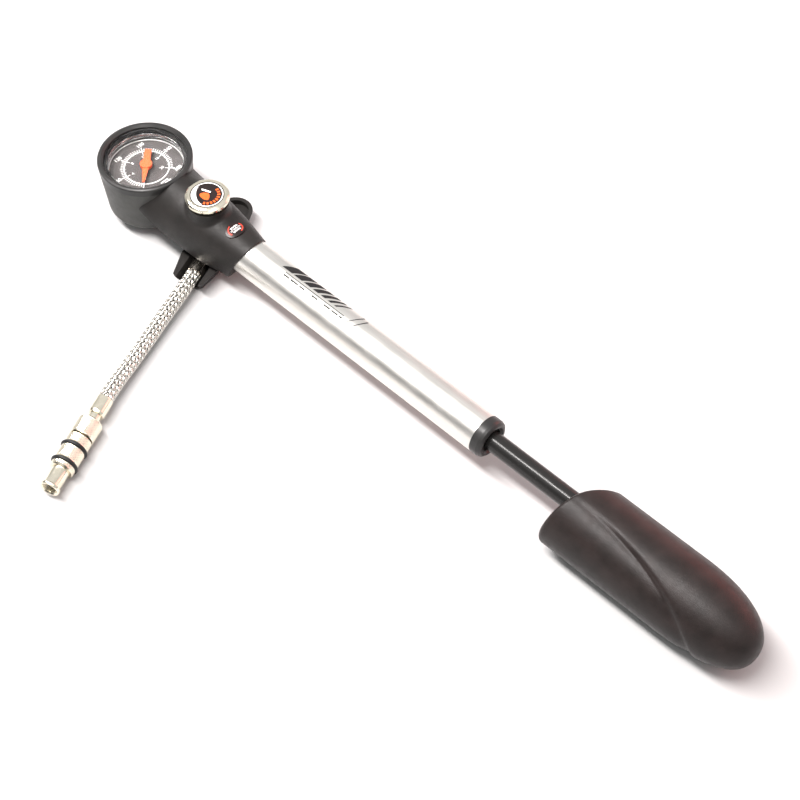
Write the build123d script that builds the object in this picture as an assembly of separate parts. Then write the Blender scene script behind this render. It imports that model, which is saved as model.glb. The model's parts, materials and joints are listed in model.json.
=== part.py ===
"""Hand pump for bicycle suspension forks: dial gauge, bleed button, swivelling braided hose and telescopic barrel.

Frame, in millimetres: the pump lies with its barrel along X, and +Z is up.
The origin is where the axis of the hose swivel meets the surface that the pump lies on.
+X runs along the barrel towards the handle, and the gauge faces +Z.
"""

from build123d import *
from math import cos, hypot, pi, radians, sin, tan
import os

# ---------------------------------------------------------------- driving dimensions
AXIS_Z = 21.3            # height of the barrel's axis above the surface
CLEAR = 0.05             # radial running clearance
GAP = 0.1                # gap between pieces that only lie against each other

BARREL_R = 10.0          # outside of the barrel tube
BARREL_BORE = 9.0
BARREL_START = 15.0
BARREL_END = 185.85
ROD_R = 4.95
ROD_BORE = 3.6

GAUGE_X = -47.7          # centre of the dial
GAUGE_BASE_Z = 6.3
BEZEL_TOP_Z = 38.45
BEZEL_R = 24.45
HOUSING_TOP_Z = 34.0
HOUSING_TOP_R = 24.2
HOUSING_BASE_R = 21.9
HOUSING_BORE = 20.4
DIAL_Z = 28.8            # underside of the dial plate
NEEDLE_Z = 31.3          # underside of the pointer's blade
NEEDLE_ZERO = -48.0      # degrees, where the pointer stands at no pressure

HEAD_BASE_Z = 10.0       # flat underside of the head
BUTTON_TOP_Z = 45.2
BUTTON_R = 11.15

PISTON_FACE_X = 129.0
PISTON_LENGTH = 10.0

HANDLE_R = 19.5
HANDLE_WALL = 2.3
HANDLE_OFFSET = 3.7      # the grip's centre line lies this far off the rod's axis
HANDLE_ROLL = 208.0      # degrees about X from +Y, the side towards which it is offset
HANDLE_MOUTH_X = 239.0   # nearest point of the slanted mouth
HANDLE_NOSE_X = 311.3    # where the rounded nose starts
HANDLE_TIP_X = 348.1
HANDLE_STOP_X = 298.0    # front face of the core that stops the handle on the end cap

HOSE_ANGLE = 19.2        # degrees from -Y towards +X, where the hose leaves the swivel
HOSE_Z = 7.3
HOSE_R = 3.95
CHUCK_ANGLE = 21.5       # the same for the valve chuck's axis
CHUCK_FERRULE_LENGTH = 10.0
# the hose's route, from the swivel ferrule to the chuck ferrule
HOSE_ROUTE = [
    (7.07, -20.30, 7.30),
    (10.36, -29.75, 7.30),
    (15.10, -45.90, 6.40),
    (20.50, -62.60, 5.90),
    (26.40, -80.20, 6.20),
    (31.00, -93.90, 7.20),
    (34.48, -102.74, 7.20),
]

UP = (0, 0, 1)
ALONG = (1, 0, 0)
HOSE_DIR = (sin(radians(HOSE_ANGLE)), -cos(radians(HOSE_ANGLE)), 0)
CHUCK_DIR = (sin(radians(CHUCK_ANGLE)), -cos(radians(CHUCK_ANGLE)), 0)
GAUGE_AXIS = (GAUGE_X, 0, 0)
BARREL_AXIS = (0, 0, AXIS_Z)


# ---------------------------------------------------------------- helpers
def rod(origin, direction, radius, length):
    """A cylinder from origin along direction."""
    return Plane(origin=origin, z_dir=direction) * Cylinder(
        radius, length, align=(Align.CENTER, Align.CENTER, Align.MIN)
    )


def ring(origin, direction, outer, inner, length):
    return rod(origin, direction, outer, length) - rod(origin, direction, inner, length)


def turned(profile, origin, direction):
    """A lathe piece: profile is (radius, height) corners, height counted along direction."""
    face = make_face(Plane.XZ * Polyline(*profile, close=True))
    return Plane(origin=origin, z_dir=direction) * revolve(face, Axis.Z)


def o_ring(origin, direction, major, minor):
    return Plane(origin=origin, z_dir=direction) * Torus(major, minor)


def along(origin, direction, distance):
    return tuple(o + d * distance for o, d in zip(origin, direction))


def spring(origin, direction, mean_radius, wire, height, turns):
    """A coil spring standing on origin, height measured outside its end turns."""
    helix = Helix(pitch=(height - 2 * wire) / turns, height=height - 2 * wire, radius=mean_radius)
    section = Plane(origin=helix @ 0, z_dir=helix % 0) * Circle(wire)
    coil = sweep(section, path=helix)
    return Plane(origin=along(origin, direction, wire), z_dir=direction) * coil


def save(name, shape):
    solids = shape.solids()
    body = solids[0] if len(solids) == 1 else Compound(children=list(solids))
    body.label = name
    export_step(body, f"parts/{name}.step")


# ---------------------------------------------------------------- gauge
def housing_radius(z):
    share = (z - GAUGE_BASE_Z) / (HOUSING_TOP_Z - GAUGE_BASE_Z)
    return HOUSING_BASE_R + share * (HOUSING_TOP_R - HOUSING_BASE_R)


STEM_R = 4.0
SEAL_SEAT_Z = 33.0
FLANGE_R = 22.1


def gauge_housing():
    edge = 3.0
    face = make_face(
        Plane.XZ * Polyline(
            (0, GAUGE_BASE_Z), (HOUSING_BASE_R, GAUGE_BASE_Z), (HOUSING_TOP_R, HOUSING_TOP_Z),
            (FLANGE_R + 0.1, HOUSING_TOP_Z), (FLANGE_R + 0.1, SEAL_SEAT_Z), (HOUSING_BORE, SEAL_SEAT_Z),
            (HOUSING_BORE, GAUGE_BASE_Z + 2.7), (0, GAUGE_BASE_Z + 2.7), close=True,
        )
    )
    cup = revolve(face, Axis.Z)
    rim = cup.edges().filter_by(GeomType.CIRCLE).sort_by(Axis.Z)[0]
    cup = fillet(rim, edge)
    return Pos(*GAUGE_AXIS) * cup - rod((GAUGE_X + 10, 0, AXIS_Z), ALONG, STEM_R + CLEAR, 20)


def gauge_bezel():
    """Screwed ring that clamps the lens, with a bevelled lip."""
    profile = [
        (HOUSING_TOP_R, HOUSING_TOP_Z + 0.02), (BEZEL_R, BEZEL_TOP_Z - 1.2), (BEZEL_R - 0.3, BEZEL_TOP_Z - 0.4),
        (BEZEL_R - 1.0, BEZEL_TOP_Z), (BEZEL_R - 2.0, BEZEL_TOP_Z), (21.3, BEZEL_TOP_Z - 1.0),
        (21.3, 36.1), (FLANGE_R + 0.1, 36.1), (FLANGE_R + 0.1, HOUSING_TOP_Z + 0.02),
    ]
    return turned(profile, GAUGE_AXIS, UP)


def gauge_lens():
    """Clear disc with a skirt that reaches down to the dial's border."""
    profile = [
        (0, 34.1), (19.6, 34.1), (19.6, DIAL_Z + 0.55), (20.2, DIAL_Z + 0.55), (20.2, 34.1),
        (FLANGE_R, 34.1), (FLANGE_R, 36.05), (0, 36.05),
    ]
    return turned(profile, GAUGE_AXIS, UP)


def lens_seal():
    return ring((GAUGE_X, 0, SEAL_SEAT_Z + 0.02), UP, FLANGE_R, HOUSING_BORE + 0.2, 1.0)


def gauge_dial():
    return ring((GAUGE_X, 0, DIAL_Z), UP, 20.2, 1.2, 0.45)


ARBOR_R = 0.6


def gauge_needle():
    """Pointer with a round boss, a wide tail and a tapering point."""
    outline = Polyline((-10.4, -1.75), (-10.4, 1.75), (0, 1.85), (12.4, 0.55), (12.4, -0.55), (0, -1.85), close=True)
    blade = extrude(make_face(outline), 0.6)
    boss = Pos(0, 0, -0.9) * Cylinder(3.1, 1.9, align=(Align.CENTER, Align.CENTER, Align.MIN))
    pointer = Pos(GAUGE_X, 0, NEEDLE_Z) * Rot(0, 0, NEEDLE_ZERO) * (blade + boss)
    return pointer - rod((GAUGE_X, 0, NEEDLE_Z - 2), UP, ARBOR_R, 2.5)


def needle_arbor():
    return rod((GAUGE_X, 0, 12.0), UP, ARBOR_R, NEEDLE_Z + 0.45 - 12.0)


MODULE = 0.4
PINION_TEETH = 12
SECTOR_TEETH = 60        # on a full circle, so five times the pinion's
PINION_PITCH_R = MODULE * PINION_TEETH / 2
SECTOR_PITCH_R = MODULE * SECTOR_TEETH / 2
SECTOR_X = GAUGE_X - PINION_PITCH_R - SECTOR_PITCH_R


def gear_outline(pitch_r, teeth, first, last, phase):
    """Corners of a row of trapezoid teeth; phase 0 puts a tooth at angle 0."""
    corners = []
    root, tip = pitch_r - 1.25 * MODULE, pitch_r + 0.8 * MODULE
    for k in range(first, last + 1):
        middle = 2 * pi * (k + phase) / teeth
        for radius, half in ((root, -0.95), (tip, -0.3), (tip, 0.3), (root, 0.95)):
            turn = middle + half * MODULE * 0.8 / pitch_r
            corners.append((radius * cos(turn), radius * sin(turn)))
    return corners


def gauge_pinion():
    wheel = extrude(make_face(Polyline(*gear_outline(PINION_PITCH_R, PINION_TEETH, 0, 11, 0.5), close=True)), 2.5)
    return Pos(GAUGE_X, 0, 20.0) * (wheel - Cylinder(ARBOR_R, 10))


def sector_gear():
    """Toothed fan that swings a fifth of what the needle turns."""
    corners = [(0, 0)] + gear_outline(SECTOR_PITCH_R, SECTOR_TEETH, -10, 1, 0)
    fan = extrude(make_face(Polyline(*corners, close=True)), 1.5)
    hub = Cylinder(2.2, 1.5, align=(Align.CENTER, Align.CENTER, Align.MIN))
    return Pos(SECTOR_X, 0, 20.5) * (fan + hub - Cylinder(1.0 + CLEAR, 10))


def sector_pin():
    return rod((SECTOR_X, 0, 14.0), UP, 1.0, 12.5)


PLATE_R = 16.4
PILLARS = [(13, 6), (13, -6), (-6, 12.4), (-6, -12.4)]


def pillar_set(bottom, top, radius):
    return [rod((GAUGE_X + x, y, bottom), UP, radius, top - bottom) for x, y in PILLARS]


def movement_plate():
    """Lower plate of the movement, standing on four feet."""
    base = rod((GAUGE_X, 0, 14.0), UP, PLATE_R, 1.2)
    for foot in pillar_set(GAUGE_BASE_Z + 2.75, 25.5, 1.2):
        base += foot
    base -= rod((GAUGE_X, 0, 10), UP, ARBOR_R + CLEAR, 6)
    return base - rod((SECTOR_X, 0, 10), UP, 1.0, 6)


def movement_bridge():
    top = rod((GAUGE_X, 0, 25.52), UP, PLATE_R, 1.0)
    for foot in pillar_set(26.5, DIAL_Z - 0.02, 1.2):
        top += foot
    top -= rod((GAUGE_X, 0, 25), UP, ARBOR_R + CLEAR, 3)
    return top - rod((SECTOR_X, 0, 25), UP, 1.0, 3)


def bourdon_tube():
    """Curved flat tube that straightens under pressure, closed at its free end."""
    radius, half_height, half_width, wall = 17.6, 2.4, 0.85, 0.3
    outer = Pos(radius, 0) * SlotOverall(2 * half_height, 2 * half_width, rotation=90)
    inner = Pos(radius, 0) * SlotOverall(2 * (half_height - wall), 2 * (half_width - wall), rotation=90)
    section = Plane.XZ * outer
    hollow = Plane.XZ * inner
    tube = revolve(section, Axis.Z, 270) - revolve(hollow, Axis.Z, 266)
    return Pos(GAUGE_X, 0, AXIS_Z) * Rot(0, 0, 14.5) * tube


def gauge_stem():
    """Brass stem from the tube's root through the housing wall into the head."""
    block = Pos(GAUGE_X + 17.5, 0, AXIS_Z) * Box(4.4, 8.0, 7.0)
    shank = rod((GAUGE_X + 17.5, 0, AXIS_Z), ALONG, STEM_R, 16.7)
    groove = ring((GAUGE_X + 29.0, 0, AXIS_Z), ALONG, STEM_R + 1, STEM_R - 1.1, 2.2)
    duct = rod((GAUGE_X + 17.5, 0, AXIS_Z), ALONG, 1.2, 20)
    side = rod((GAUGE_X + 17.5, 0, AXIS_Z), (0, 1, 0), 0.9, 5)
    return block + shank - groove - duct - side


def stem_seal():
    return o_ring((GAUGE_X + 30.1, 0, AXIS_Z), ALONG, 3.5, 0.5)


# ---------------------------------------------------------------- head
HEAD_SECTIONS = [
    # x, lower edge, side, shoulder, each as (half width, height), then the top's height and the base's half width
    (-40.0, (18.9, 23.5), (17.2, 26.6), (12.6, 31.9), 38.0, 12.0),
    (-28.0, (18.9, 21.8), (17.6, 26.0), (12.7, 32.0), 38.2, 12.0),
    (-14.0, (18.0, 18.0), (17.3, 24.0), (12.3, 32.6), 38.2, 12.0),
    (-1.0, (16.5, 15.0), (16.4, 21.5), (11.7, 32.7), 37.3, 11.5),
    (15.0, (12.9, 11.2), (13.9, 21.3), (9.9, 31.2), 35.3, 10.6),
    (21.0, (11.4, 10.5), (12.75, 21.3), (9.0, 30.3), 34.05, 9.8),
    (26.0, (10.6, 10.3), (11.6, 21.3), (8.2, 29.5), 32.9, 9.2),
    (34.0, (10.0, 10.3), (10.9, 21.3), (7.7, 29.0), 32.2, 8.8),
]
HEAD_END_X = 27.8        # where the slanted end crosses the barrel's axis
HEAD_END_LEAN = 22.3     # degrees, the end leans towards the handle at the top
BOSS_TOP_Z = 40.4
BOSS_R = 10.6
BOSS_FILLET = 3.0
POCKET_R = 9.5
POCKET_Z = 36.3
VALVE_R = 4.0
BOLT_R = 4.5
PLUG_NOSE_R = 5.9
BADGE_X = 19.3
BADGE_HALF = (4.1, 5.6)


def head_section(x, edge, side, shoulder, top, base):
    """Arched section: a smooth back over two sharp lower edges, with flanks that slope in to a flat base."""
    right = [edge, side, shoulder]
    left = [(-y, z) for y, z in right]
    back = Spline(*left, (0, top), *reversed(right))
    keel = Polyline(right[0], (base, HEAD_BASE_Z), (-base, HEAD_BASE_Z), left[0])
    return make_face(Plane(origin=(x, 0, 0), x_dir=(0, 1, 0), z_dir=ALONG) * (back + keel))


def badge_blank(grow, skin):
    """Elliptical plug under a skin that follows the head's sloping top."""
    half_x, half_y = BADGE_HALF
    prism = Pos(BADGE_X, 0, 28) * extrude(Ellipse(half_x + grow, half_y + grow), 10)
    cone = turned(
        [(0, 10), (14.75 + skin, 10), (11.85 + skin, 27), (0, 27)], (0, 0, AXIS_Z), ALONG
    )
    return prism, cone


def edge_in_boss(edge):
    """True for an edge that lies on the boss's wall, all the way round."""
    return all(hypot(p.X, p.Y) < BOSS_R + 1 for p in (edge @ 0, edge @ 0.5, edge @ 1))


def head_body():
    shell = loft([head_section(*row) for row in HEAD_SECTIONS])
    shell = shell + turned([(0, AXIS_Z), (BOSS_R + 0.6, AXIS_Z), (BOSS_R, BOSS_TOP_Z), (0, BOSS_TOP_Z)], (0, 0, 0), UP)
    foot = [edge for edge in shell.edges() if edge.geom_type == GeomType.BSPLINE and edge_in_boss(edge)]
    shell = fillet(foot, BOSS_FILLET)
    saddle = turned(
        [(0, 0), (housing_radius(0) + GAP, 0), (HOUSING_TOP_R + GAP, HOUSING_TOP_Z),
         (BEZEL_R + GAP, BEZEL_TOP_Z - 1.2), (BEZEL_R + GAP, 50), (0, 50)],
        GAUGE_AXIS, UP,
    )
    lean = radians(HEAD_END_LEAN)
    end_plane = Plane(origin=(HEAD_END_X, 0, AXIS_Z), z_dir=(cos(lean), 0, -sin(lean)))
    beyond = end_plane * Box(60, 60, 40, align=(Align.CENTER, Align.CENTER, Align.MIN))
    shell = shell - saddle - beyond
    prism, cone = badge_blank(CLEAR, -0.9)
    cuts = [
        rod((-40, 0, AXIS_Z), ALONG, STEM_R + CLEAR, 27),                # gauge stem socket
        rod((-14, 0, AXIS_Z), ALONG, 1.6, 22),                           # air duct along the barrel's axis
        rod((5.4, 0, AXIS_Z), ALONG, PLUG_NOSE_R + CLEAR, 15),           # non-return valve pocket
        rod((BARREL_START - GAP, 0, AXIS_Z), ALONG, BARREL_R + CLEAR, 40),
        rod((0, 0, POCKET_Z), UP, POCKET_R, 20),                         # bleed button pocket
        rod((0, 0, 24.0), UP, VALVE_R + 0.02, 15),                       # bleed valve bore
        rod((0, 0, 18.0), UP, 1.6, 8),
        rod((0, 0, 0), UP, BOLT_R + 0.02, 19.0),                         # swivel bolt bore
        prism - cone,
        ring((0, 0, HEAD_BASE_Z - 1), UP, 22.2, 10.6, 2.9),              # room for the turning ferrule
    ]
    for cut in cuts:
        shell = shell - cut
    return shell.solids().sort_by(SortBy.VOLUME)[-1]


def head_badge():
    prism, outer = badge_blank(0, 0.45)
    inner = badge_blank(0, -0.85)[1]
    return (prism & outer) - inner


# ---------------------------------------------------------------- bleed valve
def bleed_button():
    """Plated cap: a bevelled disc over a skirt that slides in the head's pocket."""
    low = BUTTON_TOP_Z - 2.6
    profile = [
        (1.5, 39.2), (2.4, 39.2), (2.4, 42.9), (7.7, 42.9), (7.7, 39.0), (POCKET_R - 0.1, 39.0),
        (POCKET_R - 0.1, low), (BUTTON_R - 0.3, low), (BUTTON_R, low + 0.4), (BUTTON_R, BUTTON_TOP_Z - 1.0),
        (BUTTON_R - 0.8, BUTTON_TOP_Z - 0.3), (9.6, BUTTON_TOP_Z), (8.6, BUTTON_TOP_Z),
        (8.6, BUTTON_TOP_Z - 0.7), (1.5, BUTTON_TOP_Z - 0.7),
    ]
    return turned(profile, (0, 0, 0), UP)


def button_emblem():
    return rod((0, 0, BUTTON_TOP_Z - 0.65), UP, 8.55, 0.6)


def bleed_stem():
    shank = rod((0, 0, 26.4), UP, 1.5, 18.0)
    return shank + rod((0, 0, 26.4), UP, 2.6, 1.2)


def bleed_seal():
    return ring((0, 0, 27.65), UP, 2.9, 1.55, 1.5)


def bleed_bush():
    barrel = rod((0, 0, 29.3), UP, VALVE_R, 7.0)
    flange = rod((0, 0, POCKET_Z), UP, 6.6, 0.8)
    return barrel + flange - rod((0, 0, 25), UP, 1.5 + CLEAR, 20)


def bleed_spring():
    return spring((0, 0, POCKET_Z + 0.85), UP, 5.2, 0.45, 5.7, 3)


# ---------------------------------------------------------------- non-return valve and barrel
def valve_plug():
    """Plug in the barrel's root with the non-return valve's seat and a groove for its O-ring."""
    nose = rod((5.5, 0, AXIS_Z), ALONG, PLUG_NOSE_R, 10.0)
    disc = rod((15.1, 0, AXIS_Z), ALONG, BARREL_BORE - 0.02, 7.0)
    groove = ring((18.0, 0, AXIS_Z), ALONG, BARREL_BORE + 1, BARREL_BORE - 1.3, 2.2)
    chamber = rod((5.0, 0, AXIS_Z), ALONG, 3.4, 11.0)
    throat = rod((5.0, 0, AXIS_Z), ALONG, 1.3, 30)
    return nose + disc - groove - chamber - throat


def plug_seal():
    return o_ring((19.1, 0, AXIS_Z), ALONG, BARREL_BORE - 0.65, 0.6)


def check_poppet():
    """Rubber-faced poppet that shuts the throat."""
    return turned([(0, 13.0), (2.9, 13.0), (2.9, 14.8), (2.0, 15.9), (0, 15.9)], BARREL_AXIS, ALONG)


def check_spring():
    return spring((6.6, 0, AXIS_Z), ALONG, 2.3, 0.25, 5.3, 4)


def valve_retainer():
    """Perforated ring that holds the poppet's spring."""
    disc = rod((5.55, 0, AXIS_Z), ALONG, 3.38, 1.0)
    return disc - rod((5.0, 0, AXIS_Z), ALONG, 1.3, 3)


def barrel_tube():
    return ring((BARREL_START, 0, AXIS_Z), ALONG, BARREL_R, BARREL_BORE, BARREL_END - BARREL_START)


CAP_LENGTH = 6.0
BUSH_R = 6.2


def end_cap():
    """Plastic cap with rounded shoulders and a counterbore round the rod."""
    front = BARREL_END + CAP_LENGTH
    profile = [
        (BUSH_R + 0.02, BARREL_END - 8), (BARREL_BORE - 0.02, BARREL_END - 8), (BARREL_BORE - 0.02, BARREL_END + 0.03),
        (BARREL_R, BARREL_END + 0.03), (BARREL_R, front - 2.2), (BARREL_R - 0.5, front - 0.8),
        (BARREL_R - 1.6, front), (7.3, front), (6.6, front - 1.0), (BUSH_R + 0.02, front - 1.0),
    ]
    return turned(profile, BARREL_AXIS, ALONG)


def guide_bush():
    return ring((BARREL_END - 7.9, 0, AXIS_Z), ALONG, BUSH_R, ROD_R + CLEAR, 11.5)


def end_bumper():
    """Rubber ring that cushions the piston at full stroke."""
    return ring((BARREL_END - 13.0, 0, AXIS_Z), ALONG, BARREL_BORE - 0.2, ROD_R + 0.4, 4.9)


# ---------------------------------------------------------------- rod and piston
ROD_END_X = 318.0


def rod_tube():
    return ring((PISTON_FACE_X + 4, 0, AXIS_Z), ALONG, ROD_R, ROD_BORE, ROD_END_X - PISTON_FACE_X - 4)


def piston():
    start = PISTON_FACE_X
    body = rod((start, 0, AXIS_Z), ALONG, BARREL_BORE - 0.08, PISTON_LENGTH)
    groove = ring((start + 2.0, 0, AXIS_Z), ALONG, BARREL_BORE + 1, BARREL_BORE - 2.2, 3.0)
    socket = rod((start + 4, 0, AXIS_Z), ALONG, ROD_R + 0.02, 20)
    bore = rod((start - 1, 0, AXIS_Z), ALONG, 1.5, 20)
    return body - groove - socket - bore


def piston_seal():
    return ring((PISTON_FACE_X + 2.1, 0, AXIS_Z), ALONG, BARREL_BORE - 0.02, BARREL_BORE - 2.1, 2.8)


def piston_screw():
    """Screw that holds the piston on the threaded plug in the rod."""
    head = rod((PISTON_FACE_X - 1.7, 0, AXIS_Z), ALONG, 3.2, 1.65)
    hexagon = Plane(origin=(PISTON_FACE_X - 1.8, 0, AXIS_Z), z_dir=ALONG) * extrude(RegularPolygon(1.4, 6), 1.2)
    return head + rod((PISTON_FACE_X - 1.0, 0, AXIS_Z), ALONG, 1.45, 12) - hexagon


def rod_plug():
    return ring((PISTON_FACE_X + 4.1, 0, AXIS_Z), ALONG, ROD_BORE - 0.02, 1.47, 9)


# ---------------------------------------------------------------- handle
OFFSET_Y = HANDLE_OFFSET * cos(radians(HANDLE_ROLL))
OFFSET_Z = HANDLE_OFFSET * sin(radians(HANDLE_ROLL))
HANDLE_AXIS = (0, OFFSET_Y, AXIS_Z + OFFSET_Z)


def nose_arc(radius, tip):
    """Quarter of an ellipse, from the straight side to the tip, as one smooth curve."""
    length = tip - HANDLE_NOSE_X
    steps = [radians(a) for a in (0, 35, 65, 90)]
    corners = [(radius * cos(a), HANDLE_NOSE_X + length * sin(a)) for a in steps]
    return Spline(*corners, tangents=((0, 1), (-1, 0)))


# the mouth's edge seen from the side: (distance across the grip, distance back from the mouth's nearest point)
MOUTH_EDGE = [(-26.0, -0.4), (-HANDLE_R, 0.0), (0.0, 4.3), (10.0, 8.2), (15.0, 11.8), (HANDLE_R, 16.0), (22.0, 19.5)]


def mouth_cut():
    """Everything on the barrel's side of the slanted mouth, which is cut furthest back opposite the offset."""
    side = Vector(0, -cos(radians(HANDLE_ROLL)), -sin(radians(HANDLE_ROLL)))
    edge = Spline(*MOUTH_EDGE)
    first, last = MOUTH_EDGE[0], MOUTH_EDGE[-1]
    outline = edge + Polyline(last, (last[0], -40.0), (first[0], -40.0), first)
    frame = Plane(origin=(HANDLE_MOUTH_X, *HANDLE_AXIS[1:]), x_dir=side, z_dir=side.cross(Vector(ALONG)))
    return extrude(frame * make_face(outline), 60, both=True)


def handle_shell():
    """Hollow grip: bullet shape with a slanted mouth."""
    start, inner_r, inner_tip = HANDLE_MOUTH_X - 5, HANDLE_R - HANDLE_WALL, HANDLE_TIP_X - 14.0
    outline = (
        Line((HANDLE_R, start), (HANDLE_R, HANDLE_NOSE_X))
        + nose_arc(HANDLE_R, HANDLE_TIP_X)
        + Line((0, HANDLE_TIP_X), (0, inner_tip))
        + nose_arc(inner_r, inner_tip)
        + Line((inner_r, HANDLE_NOSE_X), (inner_r, start))
        + Line((inner_r, start), (HANDLE_R, start))
    )
    face = make_face(Plane.XZ * outline)
    grip = Plane(origin=HANDLE_AXIS, z_dir=ALONG) * revolve(face, Axis.Z)
    return grip - mouth_cut()


def handle_core():
    """Ribbed socket inside the grip that holds the rod's end and stops on the end cap."""
    socket = rod((HANDLE_STOP_X, 0, AXIS_Z), ALONG, 9.0, 25.0)
    web = Plane(origin=(HANDLE_STOP_X + 4, *HANDLE_AXIS[1:]), z_dir=ALONG) * Cylinder(
        HANDLE_R - HANDLE_WALL - 0.05, 3.0, align=(Align.CENTER, Align.CENTER, Align.MIN)
    )
    core = socket + web
    core -= rod((HANDLE_STOP_X - 1, 0, AXIS_Z), ALONG, ROD_R + CLEAR, 22)
    return core - rod((HANDLE_STOP_X, 0, AXIS_Z), ALONG, 1.6, 30)


def handle_screw():
    """Shouldered screw in the rod's end on which the grip turns."""
    head = rod((HANDLE_STOP_X + 25.1, 0, AXIS_Z), ALONG, 3.0, 2.2)
    return head + rod((ROD_END_X - 7, 0, AXIS_Z), ALONG, 1.5, 13)


def rod_end_plug():
    return ring((ROD_END_X - 8.1, 0, AXIS_Z), ALONG, ROD_BORE - 0.02, 1.52, 8)


# ---------------------------------------------------------------- hose swivel
ARM_FAR = -23.7          # centre of the carrier's round far end
ARM_TOP_Z = 9.6
BLOCK_BORE = BOLT_R + CLEAR
BLOCK_Z = 3.4
BLOCK_R = 7.8
BOLT_FLANGE_R = 6.0
ARM_FRAME = Plane(origin=(0, 0, 0), x_dir=HOSE_DIR, z_dir=UP)


def arm_outline(z, far_r, half_width, shoulder, near, near_half):
    """Outline of the carrier at one height: a round far end and a blunt bow towards the hose."""
    bow = Polyline(
        (ARM_FAR, -far_r), (-8.0, -half_width), (shoulder, -half_width), (near - 1.6, -near_half),
        (near, 2.0 - near_half), (near, near_half - 2.0), (near - 1.6, near_half),
        (shoulder, half_width), (-8.0, half_width), (ARM_FAR, far_r),
    )
    stern = ThreePointArc((ARM_FAR, far_r), (ARM_FAR - far_r, 0), (ARM_FAR, -far_r))
    return Plane.XY.offset(z) * make_face(bow + stern)


def swivel_arm():
    """Boat-shaped plastic carrier under the head: an open channel on the hose's side."""
    arm = loft([
        arm_outline(0, 6.2, 7.6, 11.0, 24.5, 4.8),
        arm_outline(ARM_TOP_Z, 9.3, 11.4, 13.0, 28.5, 8.7),
    ], ruled=True)
    arm -= Pos(0, 0, BLOCK_Z) * Cylinder(BLOCK_R + 0.2, 20, align=(Align.CENTER, Align.CENTER, Align.MIN))
    arm -= Pos(0, 0, 1.2) * Cylinder(BOLT_FLANGE_R + 0.3, 20, align=(Align.CENTER, Align.CENTER, Align.MIN))
    arm -= Pos(5, 0, 3.0) * Box(60, 9.4, 20, align=(Align.MIN, Align.CENTER, Align.MIN))
    flare = Polyline((-4.7, 3.0), (4.7, 3.0), (7.0, 12.0), (-7.0, 12.0), close=True)
    mould = Plane(origin=(13, 0, 0), x_dir=(0, 1, 0), z_dir=ALONG) * make_face(flare)
    arm -= extrude(mould, 30, dir=ALONG)
    recess = Pos(ARM_FAR, 0, ARM_TOP_Z - 3.0) * Cylinder(7.2, 10, align=(Align.CENTER, Align.CENTER, Align.MIN))
    return ARM_FRAME * (arm - recess)


def swivel_block():
    """Metal eye that turns on the hollow bolt and carries the hose's nipple."""
    eye = Pos(0, 0, BLOCK_Z + 0.05) * Cylinder(BLOCK_R, 6.1, align=(Align.CENTER, Align.CENTER, Align.MIN))
    eye += Plane(origin=(6, 0, HOSE_Z), z_dir=ALONG) * Cylinder(
        2.2, 12.0, align=(Align.CENTER, Align.CENTER, Align.MIN)
    )
    eye -= Cylinder(BLOCK_BORE, 40)
    eye -= Plane(origin=(0, 0, HOSE_Z), z_dir=ALONG) * Cylinder(
        1.1, 40, align=(Align.CENTER, Align.CENTER, Align.MIN)
    )
    return ARM_FRAME * eye


def swivel_bolt():
    """Hollow bolt, fixed in the head, on which the hose swivels."""
    body = rod((0, 0, 1.5), UP, BOLT_FLANGE_R, 1.8) + rod((0, 0, 3.2), UP, BOLT_R, 15.6)
    body -= rod((0, 0, HOSE_Z), UP, 1.5, 20)
    body -= rod((0, -6, HOSE_Z), (0, 1, 0), 0.8, 12)
    for low in (4.3, 8.7):
        body -= ring((0, 0, low), UP, 6, BOLT_R - 0.85, 1.0)
    return body


def swivel_seals():
    return Compound(children=[ring((0, 0, low + 0.05), UP, BOLT_R + 0.02, BOLT_R - 0.8, 0.9) for low in (4.3, 8.7)])


FERRULE_R = 4.2
FERRULE_START = 11.5
FERRULE_END = 21.48


def hose_ferrule():
    """Crimped sleeve with flutes at the swivel end of the hose."""
    length = FERRULE_END - FERRULE_START
    sleeve = Cylinder(FERRULE_R, length, align=(Align.CENTER, Align.CENTER, Align.MIN))
    for k in range(10):
        sleeve -= Rot(0, 0, 36 * k) * Pos(FERRULE_R + 0.35, 0, 1.2) * Cylinder(
            0.75, length - 2.4, align=(Align.CENTER, Align.CENTER, Align.MIN)
        )
    sleeve -= Pos(0, 0, -1) * Cylinder(2.25, length, align=(Align.CENTER, Align.CENTER, Align.MIN))
    return Plane(origin=along((0, 0, HOSE_Z), HOSE_DIR, FERRULE_START), z_dir=HOSE_DIR) * sleeve


# ---------------------------------------------------------------- hose
def route_radii(points):
    """Largest tangent arc at each corner, from the shorter of its two runs."""
    radii = []
    for before, here, after in zip(points, points[1:], points[2:]):
        run_in, run_out = Vector(here) - Vector(before), Vector(after) - Vector(here)
        turn = radians(run_in.get_angle(run_out))
        radii.append(0.45 * min(run_in.length, run_out.length) / tan(turn / 2))
    return radii


def hose():
    radii = route_radii(HOSE_ROUTE)
    path = FilletPolyline(*HOSE_ROUTE, radius=radii)
    tube = sweep(Plane(origin=path @ 0, z_dir=path % 0) * Circle(HOSE_R), path=path)
    print("hose radii", [round(r, 1) for r in radii])
    print("hose length", round(path.length, 2), "volume over section times length",
          round(tube.volume / (pi * HOSE_R**2 * path.length), 4))
    return tube


# ---------------------------------------------------------------- valve chuck
CHUCK_ZERO = along(HOSE_ROUTE[-1], CHUCK_DIR, CHUCK_FERRULE_LENGTH)
NECK_R = 3.1


def chuck_turned(profile):
    return turned(profile, CHUCK_ZERO, CHUCK_DIR)


def chuck_ferrule():
    """Smooth crimped sleeve at the chuck end of the hose."""
    low = -CHUCK_FERRULE_LENGTH
    return chuck_turned([(0, low + 0.02), (4.15, low + 0.02), (4.3, low + 0.6), (4.3, -1.2), (3.9, 0), (0, 0)])


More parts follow.
